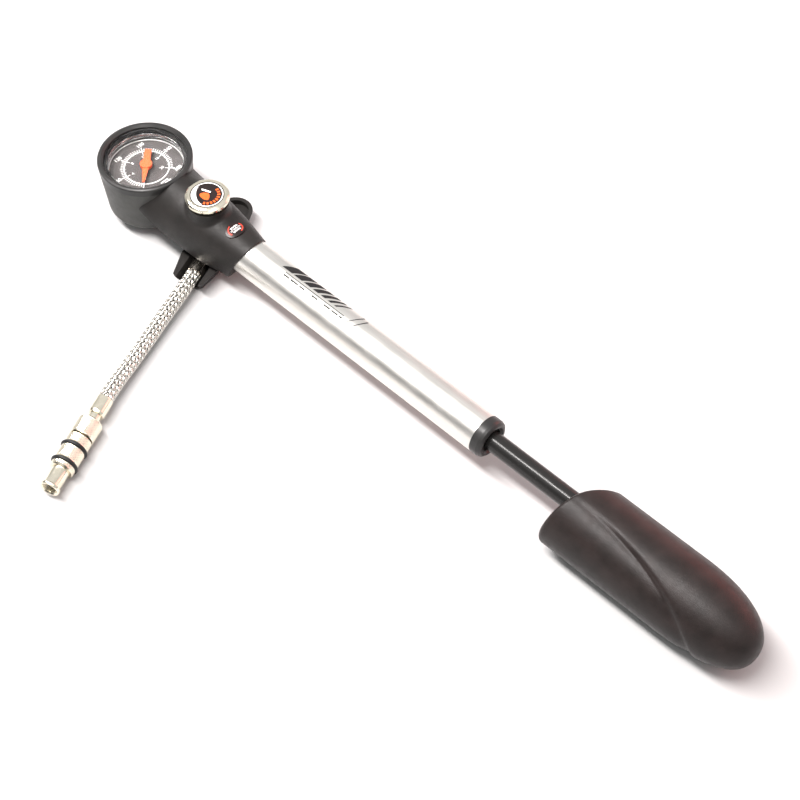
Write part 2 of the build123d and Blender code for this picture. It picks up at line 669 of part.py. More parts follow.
def chuck_stem():
    """Neck, collar and inner tube; the sleeve turns on its end."""
    return chuck_turned([
        (0, 0.02), (NECK_R, 0.02), (NECK_R, 4.4), (5.8, 4.4), (6.25, 5.0), (6.25, 14.0), (5.9, 14.5),
        (NECK_R, 14.5), (NECK_R, 33.0), (0, 33.0),
    ])


BAND_R = 6.1
GRIP_RING_R = 1.05
MOUTH = 45.8
THREAD_R = 3.55
THREAD_LENGTH = 5.0
RING_PLACES = (21.5, 30.9)


def chuck_sleeve():
    """Turning sleeve: knurled bands, two O-ring grooves and the threaded nose."""
    sleeve = chuck_turned([
        (NECK_R + CLEAR, 15.1), (BAND_R - 0.4, 15.1), (BAND_R, 15.6), (BAND_R, 34.0), (BAND_R - 0.5, 34.6),
        (4.4, 34.6), (4.4, 43.9), (5.0, 44.4), (5.0, MOUTH - 0.3), (4.7, MOUTH), (4.1, MOUTH),
        (THREAD_R, MOUTH - 0.6), (THREAD_R, MOUTH - 0.6 - THREAD_LENGTH), (3.9, MOUTH - 0.7 - THREAD_LENGTH),
        (3.9, 33.6), (NECK_R + CLEAR, 33.6),
    ])
    for place in RING_PLACES:
        sleeve -= ring(along(CHUCK_ZERO, CHUCK_DIR, place - 1.15), CHUCK_DIR, 8, BAND_R - 1.3, 2.3)
    return sleeve


def grip_rings():
    major = BAND_R - 1.25 + GRIP_RING_R
    return Compound(children=[
        o_ring(along(CHUCK_ZERO, CHUCK_DIR, place), CHUCK_DIR, major, GRIP_RING_R) for place in RING_PLACES
    ])


def chuck_seal():
    return chuck_turned([(1.2, 35.05), (3.8, 35.05), (3.8, 37.0), (1.2, 37.0)])


def depressor_pin():
    """Pin that opens the tyre or fork valve's core."""
    return chuck_turned([(0, 33.05), (2.6, 33.05), (2.6, 35.0), (0.7, 35.0), (0.7, 38.8), (0.4, 39.2), (0, 39.2)])


MAKERS = [
    gauge_housing, gauge_bezel, gauge_lens, lens_seal, gauge_dial, gauge_needle, needle_arbor, gauge_pinion,
    sector_gear, sector_pin, movement_plate, movement_bridge, bourdon_tube, gauge_stem, stem_seal,
    head_body, head_badge, bleed_button, button_emblem, bleed_stem, bleed_seal, bleed_bush, bleed_spring,
    valve_plug, plug_seal, check_poppet, check_spring, valve_retainer, barrel_tube, end_cap, guide_bush, end_bumper,
    rod_tube, piston, piston_seal, piston_screw, rod_plug,
    handle_shell, handle_core, handle_screw, rod_end_plug,
    swivel_arm, swivel_block, swivel_bolt, swivel_seals, hose_ferrule, hose,
    chuck_ferrule, chuck_stem, chuck_sleeve, grip_rings, chuck_seal, depressor_pin,
]

os.makedirs("parts", exist_ok=True)
for maker in MAKERS:
    save(maker.__name__, maker())
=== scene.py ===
"""The looks of a mini shock pump: gauge head, braided hose with valve chuck, barrel, rod and grip.

Everything is in metres, in the frame of the CAD model: +X runs along the barrel towards the
grip, and the gauge faces +Z. Lengths that are easier to read in millimetres are written n * MM.
"""
import json
import math

import bpy
import numpy as np
from mathutils import Matrix, Vector


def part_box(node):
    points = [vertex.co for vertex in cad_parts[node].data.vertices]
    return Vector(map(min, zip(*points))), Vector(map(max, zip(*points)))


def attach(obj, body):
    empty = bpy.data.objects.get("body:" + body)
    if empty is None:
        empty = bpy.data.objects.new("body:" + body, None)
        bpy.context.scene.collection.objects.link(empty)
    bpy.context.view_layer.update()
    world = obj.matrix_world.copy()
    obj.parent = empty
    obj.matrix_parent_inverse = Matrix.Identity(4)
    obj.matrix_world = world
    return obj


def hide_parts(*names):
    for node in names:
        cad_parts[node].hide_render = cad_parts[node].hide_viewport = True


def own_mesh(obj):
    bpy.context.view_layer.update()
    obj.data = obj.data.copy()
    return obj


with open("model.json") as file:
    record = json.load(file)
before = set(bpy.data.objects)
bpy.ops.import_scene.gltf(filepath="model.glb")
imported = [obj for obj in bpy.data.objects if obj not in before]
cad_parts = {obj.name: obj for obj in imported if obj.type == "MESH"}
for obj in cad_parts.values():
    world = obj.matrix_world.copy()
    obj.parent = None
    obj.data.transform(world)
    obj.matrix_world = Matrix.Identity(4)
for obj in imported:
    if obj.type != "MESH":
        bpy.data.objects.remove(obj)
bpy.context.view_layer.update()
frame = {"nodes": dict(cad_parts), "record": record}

MM = 0.001
TAU = 2 * math.pi
UP = Vector((0, 0, 1))
SLOT_OF = {part["node"]: part["material_slot"] for part in frame["record"]["subparts"]}


# ---------------------------------------------------------------- places, read from the frame
def centre_of(node):
    low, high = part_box(node)
    return (low + high) / 2


BARREL_LOW, BARREL_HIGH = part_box("barrel_tube")
BARREL_R = (BARREL_HIGH.z - BARREL_LOW.z) / 2
AXIS_Z = (BARREL_HIGH.z + BARREL_LOW.z) / 2
GRIP_LOW, GRIP_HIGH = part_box("handle_shell")
GRIP_CENTRE = centre_of("handle_shell")
GRIP_R = (GRIP_HIGH.z - GRIP_LOW.z) / 2
DIAL_CENTRE = centre_of("gauge_dial")
DIAL_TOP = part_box("gauge_dial")[1].z
EMBLEM_LOW, EMBLEM_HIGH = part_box("button_emblem")
EMBLEM_R = (EMBLEM_HIGH.x - EMBLEM_LOW.x) / 2

# the hose's middle line, from the ferrule under the head to the chuck
HOSE_ROUTE = [
    (7.07, -20.30, 7.30), (10.36, -29.75, 7.30), (15.10, -45.90, 6.40), (20.50, -62.60, 5.90),
    (26.40, -80.20, 6.20), (31.00, -93.90, 7.20), (34.48, -102.74, 7.20),
]
HOSE_POINTS = [Vector(point) * MM for point in HOSE_ROUTE]
HOSE_R = 3.95 * MM
CHUCK_HEADING = math.radians(21.5)     # from -Y towards +X
CHUCK_FERRULE_LENGTH = 10 * MM
CHUCK_AXIS = Vector((math.sin(CHUCK_HEADING), -math.cos(CHUCK_HEADING), 0))
CHUCK_START = HOSE_POINTS[-1] + CHUCK_AXIS * CHUCK_FERRULE_LENGTH


# ---------------------------------------------------------------- camera
CAMERA_AIM = Vector((0.14443, -0.01267, AXIS_Z))
CAMERA_AZIMUTH, CAMERA_ELEVATION, CAMERA_ROLL = (math.radians(a) for a in (44.27, 53.67, -0.54))
CAMERA_DISTANCE = 0.8686
SENSOR_WIDTH, FOCAL_LENGTH = 36, 83.11


def make_camera():
    """A long lens from above, on the near right side."""
    sin_a, cos_a = math.sin(CAMERA_AZIMUTH), math.cos(CAMERA_AZIMUTH)
    sin_e, cos_e = math.sin(CAMERA_ELEVATION), math.cos(CAMERA_ELEVATION)
    back = Vector((sin_a * cos_e, -cos_a * cos_e, sin_e))
    level, rise = Vector((cos_a, sin_a, 0)), Vector((-sin_e * sin_a, sin_e * cos_a, cos_e))
    right = level * math.cos(CAMERA_ROLL) + rise * math.sin(CAMERA_ROLL)
    turn = Matrix((right, back.cross(right), back)).transposed()
    lens = bpy.data.cameras.new("camera")
    lens.sensor_width, lens.lens = SENSOR_WIDTH, FOCAL_LENGTH
    camera = bpy.data.objects.new("camera", lens)
    camera.matrix_world = Matrix.Translation(CAMERA_AIM + back * CAMERA_DISTANCE) @ turn.to_4x4()
    bpy.context.scene.collection.objects.link(camera)
    bpy.context.scene.camera = camera


# ---------------------------------------------------------------- material helpers
class Finish:
    """A Principled material with short calls for what changes over its surface."""

    def __init__(self, name, colour, roughness, metallic=0.0, **plain):
        self.material = bpy.data.materials.new(name)
        self.material.use_nodes = True
        self.nodes, self.links = self.material.node_tree.nodes, self.material.node_tree.links
        self.shader = self.nodes["Principled BSDF"]
        self.set("Base Color", (*colour, 1))
        self.set("Roughness", roughness)
        self.set("Metallic", metallic)
        for key, value in plain.items():
            self.set(key.replace("_", " "), value)

    def set(self, socket, value):
        self.shader.inputs[socket].default_value = value

    def place(self, stretch=(1, 1, 1)):
        """The surface's place in the frame, stretched along X, Y or Z."""
        where = self.nodes.new("ShaderNodeTexCoord")
        mapping = self.nodes.new("ShaderNodeMapping")
        mapping.inputs["Scale"].default_value = stretch
        self.links.new(where.outputs["Object"], mapping.inputs["Vector"])
        return mapping.outputs["Vector"]

    def noise(self, size, detail=2.0, stretch=(1, 1, 1)):
        """Noise whose blotches are about size metres across."""
        node = self.nodes.new("ShaderNodeTexNoise")
        node.inputs["Scale"].default_value = 1 / size
        node.inputs["Detail"].default_value = detail
        self.links.new(self.place(stretch), node.inputs["Vector"])
        return node.outputs["Fac"]

    def ramp(self, value, *stops):
        """value through a colour ramp, with stops of (position, grey or colour)."""
        node = self.nodes.new("ShaderNodeValToRGB")
        while len(node.color_ramp.elements) < len(stops):
            node.color_ramp.elements.new(0.5)
        for element, (position, colour) in zip(node.color_ramp.elements, stops):
            element.position = position
            element.color = (*colour, 1) if hasattr(colour, "__len__") else (colour,) * 3 + (1,)
        self.links.new(value, node.inputs["Fac"])
        return node.outputs["Color"]

    def colours(self, value, *stops):
        self.links.new(self.ramp(value, *stops), self.shader.inputs["Base Color"])
        return self

    def roughnesses(self, value, *stops):
        self.links.new(self.ramp(value, *stops), self.shader.inputs["Roughness"])
        return self

    def bump(self, value, depth):
        """Raises the surface by value, depth metres at most."""
        node = self.nodes.new("ShaderNodeBump")
        node.inputs["Distance"].default_value = depth
        node.inputs["Strength"].default_value = 1.0
        self.links.new(value, node.inputs["Height"])
        before = self.shader.inputs["Normal"].links
        if before:
            self.links.new(before[0].from_socket, node.inputs["Normal"])
        self.links.new(node.outputs["Normal"], self.shader.inputs["Normal"])
        return self


def moulded(name, dark, light, roughness, grain, depth, specular=0.35):
    """Moulded plastic: fine spark-eroded grain over slow colour variation."""
    finish = Finish(name, dark, roughness, Specular_IOR_Level=specular)
    finish.colours(finish.noise(9 * MM, 4), (0.35, dark), (0.68, light))
    finish.roughnesses(finish.noise(3 * MM, 3), (0.3, roughness - 0.05), (0.7, roughness + 0.06))
    return finish.bump(finish.noise(grain, 2), depth)


def metal(name, colour, warm, roughness):
    """Plated or turned metal with faint cloudiness and handling marks."""
    finish = Finish(name, colour, roughness, metallic=1.0)
    finish.colours(finish.noise(4 * MM, 3), (0.35, colour), (0.7, warm))
    finish.roughnesses(finish.noise(1.2 * MM, 4), (0.3, roughness - 0.04), (0.72, roughness + 0.07))
    return finish.bump(finish.noise(0.5 * MM, 3), 0.004 * MM)


def print_ink(name, colour, roughness=0.5):
    """Printed ink, a little uneven in tone."""
    finish = Finish(name, colour, roughness, Specular_IOR_Level=0.2)
    paler = tuple(min(1, c * 1.12 + 0.01) for c in colour)
    finish.colours(finish.noise(0.5 * MM, 3), (0.35, colour), (0.65, paler))
    return finish.material


def make_black_plastic():
    finish = moulded(
        "black_plastic", (0.011, 0.0098, 0.009), (0.017, 0.0148, 0.0138), 0.46,
        grain=0.25 * MM, depth=0.06 * MM, specular=0.26,
    )
    return finish.bump(finish.noise(0.6 * MM, 2), 0.012 * MM)


def make_housing_plastic():
    """The gauge's housing is moulded in a slightly greyer batch than the head."""
    finish = moulded(
        "housing_plastic", (0.045, 0.045, 0.042), (0.06, 0.06, 0.056), 0.5,
        grain=0.22 * MM, depth=0.06 * MM,
    )
    return finish.bump(finish.noise(0.6 * MM, 2), 0.03 * MM)


def make_bezel_plastic():
    return moulded(
        "bezel_plastic", (0.018, 0.018, 0.018), (0.028, 0.027, 0.026), 0.34,
        grain=0.3 * MM, depth=0.01 * MM,
    )


def make_handle_plastic():
    """Soft-touch grip: matte, sandy grain, with a maroon cast."""
    finish = moulded(
        "handle_plastic", (0.013, 0.0095, 0.0088), (0.021, 0.0148, 0.0138), 0.39,
        grain=0.24 * MM, depth=0.075 * MM, specular=0.24,
    )
    return finish.bump(finish.noise(0.7 * MM, 2), 0.02 * MM)


def make_clear_lens():
    finish = Finish("clear_lens", (0.97, 0.98, 0.98), 0.03, IOR=1.28, Transmission_Weight=1.0)
    return finish.roughnesses(finish.noise(6 * MM, 3), (0.4, 0.015), (0.8, 0.06))


def make_dial_grey():
    finish = Finish("dial_grey", (0.05, 0.044, 0.043), 0.6, Specular_IOR_Level=0.3)
    finish.colours(finish.noise(5 * MM, 3), (0.3, (0.036, 0.032, 0.031)), (0.7, (0.048, 0.042, 0.041)))
    return finish.bump(finish.noise(0.15 * MM, 2), 0.006 * MM)


def make_needle_orange():
    finish = Finish("needle_orange", (0.62, 0.11, 0.02), 0.45)
    finish.colours(finish.noise(3 * MM, 3), (0.3, (0.55, 0.055, 0.01)), (0.7, (0.64, 0.075, 0.014)))
    return finish.bump(finish.noise(0.2 * MM, 2), 0.006 * MM)


def make_brass():
    return metal("brass", (0.72, 0.5, 0.22), (0.8, 0.58, 0.28), 0.27)


def make_steel():
    return metal("steel", (0.6, 0.6, 0.6), (0.68, 0.67, 0.65), 0.28)


def make_nickel():
    return metal("nickel", (0.8, 0.74, 0.6), (0.9, 0.84, 0.7), 0.15)


def make_dark_nickel():
    return metal("dark_nickel", (0.5, 0.47, 0.42), (0.62, 0.58, 0.52), 0.14)


def make_emblem():
    finish = Finish("emblem", (0.012, 0.008, 0.008), 0.28, Specular_IOR_Level=0.3)
    finish.colours(finish.noise(3 * MM, 3), (0.3, (0.01, 0.007, 0.007)), (0.7, (0.02, 0.011, 0.01)))
    return finish.bump(finish.noise(1.5 * MM, 2), 0.01 * MM)


def make_barrel_aluminium():
    """Satin anodised tube, drawn along X, with faint length marks."""
    finish = Finish("barrel_aluminium", (0.8, 0.78, 0.74), 0.33, metallic=1.0)
    streaks = finish.noise(0.5 * MM, 3, stretch=(0.02, 1, 1))
    finish.colours(streaks, (0.25, (0.77, 0.75, 0.71)), (0.75, (0.84, 0.82, 0.78)))
    finish.roughnesses(finish.noise(2 * MM, 4, stretch=(0.2, 1, 1)), (0.3, 0.3), (0.7, 0.38))
    finish.bump(streaks, 0.004 * MM)
    return finish.bump(finish.noise(0.16 * MM, 2), 0.003 * MM)


def make_rod_black():
    """Hard black oxide over a ground rod, with a few fine specks."""
    finish = Finish("rod_black", (0.012, 0.0115, 0.011), 0.2, Specular_IOR_Level=0.3)
    finish.roughnesses(finish.noise(1.5 * MM, 4, stretch=(0.3, 1, 1)), (0.3, 0.17), (0.75, 0.28))
    finish.colours(finish.noise(0.35 * MM, 1), (0.74, (0.013, 0.0125, 0.012)), (0.8, (0.12, 0.115, 0.11)))
    return finish.bump(finish.noise(0.9 * MM, 3, stretch=(0.1, 1, 1)), 0.003 * MM)


def make_seal_rubber():
    return moulded(
        "seal_rubber", (0.008, 0.008, 0.008), (0.014, 0.013, 0.013), 0.42,
        grain=0.4 * MM, depth=0.008 * MM,
    )


def make_braid():
    """Stainless wire."""
    finish = Finish("braid", (0.72, 0.7, 0.66), 0.22, metallic=1.0)
    finish.colours(finish.noise(2 * MM, 3), (0.3, (0.66, 0.64, 0.6)), (0.7, (0.82, 0.79, 0.73)))
    return finish.roughnesses(finish.noise(0.6 * MM, 3), (0.3, 0.16), (0.7, 0.3))


MAKERS = {
    "black_plastic": make_black_plastic, "bezel_plastic": make_bezel_plastic,
    "handle_plastic": make_handle_plastic, "clear_lens": make_clear_lens,
    "dial_grey": make_dial_grey, "needle_orange": make_needle_orange, "brass": make_brass,
    "steel": make_steel, "nickel": make_nickel, "dark_nickel": make_dark_nickel,
    "emblem": make_emblem, "barrel_aluminium": make_barrel_aluminium, "rod_black": make_rod_black,
    "seal_rubber": make_seal_rubber, "braid": make_braid,
}
HOUSING_NODE = "gauge_housing"
MATERIALS = {}


def make_materials():
    """One material for each of the record's slots, given to every CAD node of that slot."""
    for slot, maker in MAKERS.items():
        MATERIALS[slot] = maker().material
    housing = make_housing_plastic().material
    for node, slot in SLOT_OF.items():
        data = frame["nodes"][node].data
        data.materials.clear()
        data.materials.append(housing if node == HOUSING_NODE else MATERIALS[slot])


# ---------------------------------------------------------------- mesh helpers
def add_mesh(name, points, faces, material, smooth=True):
    """A mesh object from points and faces in the frame."""
    data = bpy.data.meshes.new(name)
    data.from_pydata([tuple(p) for p in points], [], faces)
    data.validate()
    data.materials.append(material)
    data.polygons.foreach_set("use_smooth", [smooth] * len(data.polygons))
    data.update()
    thing = bpy.data.objects.new(name, data)
    bpy.context.scene.collection.objects.link(thing)
    return thing


def place_piece(thing, body, slot, *nodes):
    """The piece rides on body and stands for nodes, which are hidden; slot is not used."""
    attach(thing, body)
    if nodes:
        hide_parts(*nodes)
    return thing


def lattice_faces(rows, columns, first=0):
    """Faces of a grid of rows of points, closed round each row."""
    faces = []
    for row in range(rows - 1):
        for column in range(columns):
            beside = (column + 1) % columns
            low, high = first + row * columns, first + (row + 1) * columns
            faces.append((low + column, low + beside, high + beside, high + column))
    return faces


def lathe(profile, origin, axis, columns=144, relief=lambda angle, along: 0.0):
    """A closed profile of (radius, distance) in mm, turned about axis: its points and faces.

    relief gives how far the surface is cut in, in mm, at an angle and a distance.
    """
    side = axis.orthogonal().normalized()
    across = axis.cross(side)
    points = []
    for radius, distance in profile:
        for k in range(columns):
            angle = TAU * k / columns
            r = (radius - relief(angle, distance)) * MM
            out = side * r * math.cos(angle) + across * r * math.sin(angle)
            points.append(origin + axis * distance * MM + out)
    faces = lattice_faces(len(profile), columns)
    last = (len(profile) - 1) * columns
    for k in range(columns):
        beside = (k + 1) % columns
        faces.append((last + k, last + beside, beside, k))
    return points, faces


def wires_to_mesh(name, lines, radius, sides, material):
    """One mesh of round wires, each along its own line of points, with closed ends."""
    points, faces = [], []
    for line in lines:
        line = np.asarray(line)
        ahead = np.gradient(line, axis=0)
        ahead /= np.linalg.norm(ahead, axis=1)[:, None]
        across = np.cross(ahead, (0, 0, 1.0))
        across /= np.linalg.norm(across, axis=1)[:, None]
        up = np.cross(across, ahead)
        first = len(points)
        for k in range(len(line)):
            for s in range(sides):
                angle = TAU * s / sides
                out = math.cos(angle) * across[k] + math.sin(angle) * up[k]
                points.append(line[k] + radius * out)
        faces += lattice_faces(len(line), sides, first)
        faces.append(tuple(range(first + sides - 1, first - 1, -1)))
        last = first + (len(line) - 1) * sides
        faces.append(tuple(range(last, last + sides)))
    return add_mesh(name, points, faces, material)


def prisms(name, outlines, lift, thickness, material, wrap=lambda x, y, z: (x, y, z)):
    """One mesh of thin closed slabs over flat outlines, bent by wrap. Outlines run anticlockwise."""
    points, faces = [], []
    for outline in outlines:
        first, count = len(points), len(outline)
        for level in (lift, lift + thickness):
            points += [wrap(x, y, level) for x, y in outline]
        faces.append(tuple(range(first + count - 1, first - 1, -1)))
        faces.append(tuple(range(first + count, first + 2 * count)))
        for k in range(count):
            beside = (k + 1) % count
            faces.append((first + k, first + beside, first + count + beside, first + count + k))
    return add_mesh(name, points, faces, material, smooth=False)


def arc_outlines(radius, width, start, stop, steps):
    """A circular band from start to stop in degrees, as small four-cornered outlines."""
    cells = []
    angles = [math.radians(start + (stop - start) * k / steps) for k in range(steps + 1)]
    inner, outer = radius - width / 2, radius + width / 2
    for a, b in zip(angles, angles[1:]):
        corners = [(inner, a), (outer, a), (outer, b), (inner, b)]
        cells.append([(r * math.cos(t), r * math.sin(t)) for r, t in corners])
    return cells


def tick_outline(angle, inner, outer, width):
    """A short radial bar at angle, in radians."""
    along = Vector((math.cos(angle), math.sin(angle)))
    half = Vector((-math.sin(angle), math.cos(angle))) * width / 2
    corners = (along * inner - half, along * outer - half, along * outer + half, along * inner + half)
    return [tuple(corner) for corner in corners]


# ---------------------------------------------------------------- dial
DIAL_START = math.radians(-48)     # where zero is, from +X towards +Y
DIAL_SWEEP = math.radians(270)     # clockwise from there
DIAL_INTERVALS = 5                 # between numbers
OUTER_STEP, INNER_STEP = 60, 4     # from one number to the next, on each scale
OUTER_TICKS, INNER_TICKS = 10, 4   # ticks in an interval, on each scale
SCALE_RING_R = 11.6 * MM
OUTER_NUMBERS_R, INNER_NUMBERS_R = 16.2 * MM, 7.9 * MM
INK = 0.03 * MM                    # thickness of printed ink


def scale_angle(share):
    return DIAL_START - DIAL_SWEEP * share


def dial_lines():
    """The ring between the two scales, and both scales' ticks."""
    lines = arc_outlines(SCALE_RING_R, 0.6 * MM, 0, 360, 96)
    outer_steps = DIAL_INTERVALS * OUTER_TICKS
    for k in range(outer_steps + 1):
        major = k % OUTER_TICKS == 0
        middle = k % (OUTER_TICKS // 2) == 0
        start = SCALE_RING_R if major else SCALE_RING_R + 0.7 * MM
        stop = SCALE_RING_R + (2.9 if major else 2.1 if middle else 1.8) * MM
        width = (0.5 if major else 0.38) * MM
        lines.append(tick_outline(scale_angle(k / outer_steps), start, stop, width))
    inner_steps = DIAL_INTERVALS * INNER_TICKS
    for k in range(inner_steps + 1):
        major = k % INNER_TICKS == 0
        start = SCALE_RING_R - (2.1 if major else 1.0) * MM
        width = (0.36 if major else 0.22) * MM
        lines.append(tick_outline(scale_angle(k / inner_steps), start, SCALE_RING_R, width))
    return lines


def number(text, size, centre):
    """A number as a thin solid, read with +Y to the right and -X up."""
    curve = bpy.data.curves.new("number", "FONT")
    curve.body, curve.size = text, size
    curve.align_x, curve.align_y = "CENTER", "CENTER"
    curve.extrude = INK
    curve.offset = size * 0.01     # a slightly bolder stroke
    curve.resolution_u = 4
    holder = bpy.data.objects.new("number", curve)
    bpy.context.scene.collection.objects.link(holder)
    bpy.context.view_layer.update()
    evaluated = holder.evaluated_get(bpy.context.evaluated_depsgraph_get())
    data = bpy.data.meshes.new_from_object(evaluated)
    bpy.data.objects.remove(holder)
    turn = Matrix.Rotation(math.radians(90), 4, "Z")
    data.transform(Matrix.Translation(centre) @ turn)
    return data


def joined(name, meshes, material):
    """Several meshes as one."""
    points, faces = [], []
    for data in meshes:
        first = len(points)
        points += [tuple(v.co) for v in data.vertices]
        faces += [tuple(first + k for k in face.vertices) for face in data.polygons]
    return add_mesh(name, points, faces, material, smooth=False)


def make_dial():
    """White print on the dial: two scales with their numbers, and bars where a dial names its units."""
    ink = print_ink("dial_white", (0.56, 0.56, 0.55))
    centre = Vector((DIAL_CENTRE.x, DIAL_CENTRE.y, DIAL_TOP))

    def place(x, y, z):
        return (centre.x + x, centre.y + y, z)

    lines = prisms("dial_scale", dial_lines(), DIAL_TOP - INK / 2, INK, ink, place)
    place_piece(lines, "barrel", "dial_grey")
    labels = []
    for k in range(DIAL_INTERVALS + 1):
        angle = scale_angle(k / DIAL_INTERVALS)
        out = Vector((math.cos(angle), math.sin(angle), 0))
        labels.append(number(str(k * OUTER_STEP), 3.0 * MM, centre + out * OUTER_NUMBERS_R))
        labels.append(number(str(k * INNER_STEP), 2.3 * MM, centre + out * INNER_NUMBERS_R))
    place_piece(joined("dial_numbers", labels, ink), "barrel", "dial_grey")
    unit_bars = []
    for half, low in ((3.2 * MM, 14.6 * MM), (2.3 * MM, 13.3 * MM)):
        high = low + 0.75 * MM
        for share_start, share_stop in ((-1, -0.35), (-0.2, 0.3), (0.45, 1)):
            start, stop = share_start * half, share_stop * half
            unit_bars.append([(low, start), (high, start), (high, stop), (low, stop)])
    marks = prisms("dial_unit_marks", unit_bars, DIAL_TOP - INK / 2, INK, ink, place)
    place_piece(marks, "barrel", "dial_grey")


def make_lens_edges():
    """Painted glints in the lens's rim: a broad streaked ring under its top and a thin bright one round
    the dial, standing in for the light its polished edges catch.
    """
    glint = Finish("lens_glint", (0.8, 0.8, 0.8), 0.12, metallic=1.0)
    # painted reflection: near-white streaks over dark grey, drawn round the ring, stand in for light
    # glinting in the clear rim
    streaks = glint.noise(3.2 * MM, 3, stretch=(0.6, 0.6, 5))
    glint.colours(streaks, (0.46, (0.16, 0.16, 0.16)), (0.6, (0.98, 0.98, 0.98)))
    # painted glint: a pale, part-metal thin ring stands in for the bright line of light at the lens's rim
    # round the dial
    rim = Finish("dial_edge_glint", (0.75, 0.74, 0.72), 0.3, metallic=0.6)
    rim.colours(rim.noise(5 * MM, 2), (0.3, (0.5, 0.49, 0.48)), (0.7, (0.85, 0.84, 0.82)))
    lens_centre = Vector((DIAL_CENTRE.x, DIAL_CENTRE.y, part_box("gauge_lens")[1].z))
    dial_centre = Vector((DIAL_CENTRE.x, DIAL_CENTRE.y, DIAL_TOP))
    broad = lathe([(19.25, -4.6), (19.5, -4.6), (19.5, -2.05), (19.3, -2.05)], lens_centre, UP)
    thin = lathe([(19.05, 0.1), (19.5, 0.1), (19.5, 0.5), (19.2, 0.55)], dial_centre, UP)
    place_piece(add_mesh("lens_glint", *broad, glint.material), "barrel", "clear_lens")
    place_piece(add_mesh("dial_edge_glint", *thin, rim.material), "barrel", "dial_grey")


# ---------------------------------------------------------------- button and badge
COIL_WIRE_R = 0.45 * MM
COIL_TURNS = 3


def make_button_print():
    """A plain emblem: a white ring, crescent and bar, with an arc of orange dashes round a drop."""
    white = print_ink("emblem_white", (0.85, 0.84, 0.82), 0.3)
    orange = print_ink("emblem_orange", (0.7, 0.11, 0.02), 0.3)
    lift = EMBLEM_HIGH.z - INK / 2
    ring = arc_outlines(EMBLEM_R - 0.75 * MM, 0.55 * MM, 0, 360, 72)
    crescent = []
    cells, step = 20, 6
    for k in range(cells):
        width = 1.5 * MM * math.sin(math.pi * (k + 0.5) / cells) + 0.2 * MM
        start = 175 + step * k
        crescent += arc_outlines(EMBLEM_R - 1.4 * MM - width / 2, width, start, start + step, 1)
    bar = [[(-4.9 * MM, 0.9 * MM), (-4.1 * MM, 0.1 * MM), (0.4 * MM, 1.9 * MM), (-0.2 * MM, 2.7 * MM)]]
    place_piece(prisms("button_white_print", ring + crescent + bar, lift, INK, white), "button", "emblem")
    dashes = []
    for k in range(9):
        start = -62 + 17 * k
        dashes += arc_outlines(EMBLEM_R - 2.7 * MM, 1.6 * MM, start, start + 10, 3)
    drop = []
    drop_points = 32
    for k in range(drop_points):
        t = TAU * k / drop_points
        x = 2.7 * MM * math.cos(t) * (1 - 0.42 * math.sin(t))
        drop.append((x, 2.2 * MM * math.sin(t) - 1.2 * MM))
    place_piece(prisms("button_orange_print", dashes + [drop], lift, INK, orange), "button", "emblem")


def make_bleed_coil():
    """The button's return spring, which the button squeezes as it goes down; here a fixed coil that does
    not squeeze.
    """
    low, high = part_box("bleed_spring")
    tall = high.z - low.z
    radius = (high.x - low.x) / 2 - COIL_WIRE_R
    shares = np.linspace(0, 1, 40 * COIL_TURNS)
    angles = TAU * COIL_TURNS * shares
    heights = low.z + COIL_WIRE_R + (tall - 2 * COIL_WIRE_R) * shares
    line = np.stack([radius * np.cos(angles), radius * np.sin(angles), heights], axis=1)
    slot = SLOT_OF["bleed_spring"]
    coil = wires_to_mesh("bleed_coil", [line], COIL_WIRE_R, 12, MATERIALS[slot])
    place_piece(coil, "barrel", slot, "bleed_spring")
    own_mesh(coil)


def make_badge_print():
    """A plain mark on the oval: slanted white strokes in a broken red ring."""
    white = print_ink("badge_white", (0.85, 0.83, 0.82), 0.3)
    red = print_ink("badge_red", (0.45, 0.05, 0.03), 0.3)
    low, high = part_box("head_badge")
    middle, half_x, half_y = (low + high) / 2, (high.x - low.x) / 2, (high.y - low.y) / 2
    node = frame["nodes"]["head_badge"]

    def over_badge(x, y, level):
        """x and y as shares of the oval's half sizes, dropped on its face."""
        start = Vector((middle.x + x * half_x, middle.y + y * half_y, high.z + 5 * MM))
        hit, place, _, _ = node.ray_cast(start, -UP)
        return tuple(place + UP * level) if hit else (start.x, start.y, middle.z)

    strokes = []
    for row, length in ((-0.3, 0.42), (0.0, 0.58), (0.3, 0.42)):
        for step in range(4):
            start, stop = -length + step * length / 2, -length + (step + 0.7) * length / 2
            near, far, lean = row - 0.1, row + 0.1, 0.08
            strokes.append([(near, start), (far, start + lean), (far, stop + lean), (near, stop)])
    strokes_mesh = prisms("badge_white_print", strokes, -INK / 2, INK, white, over_badge)
    place_piece(strokes_mesh, "barrel", "emblem")
    arcs = arc_outlines(0.72, 0.14, 20, 120, 12) + arc_outlines(0.72, 0.14, 200, 300, 12)
    place_piece(prisms("badge_red_print", arcs, -INK / 2, INK, red, over_badge), "barrel", "emblem")


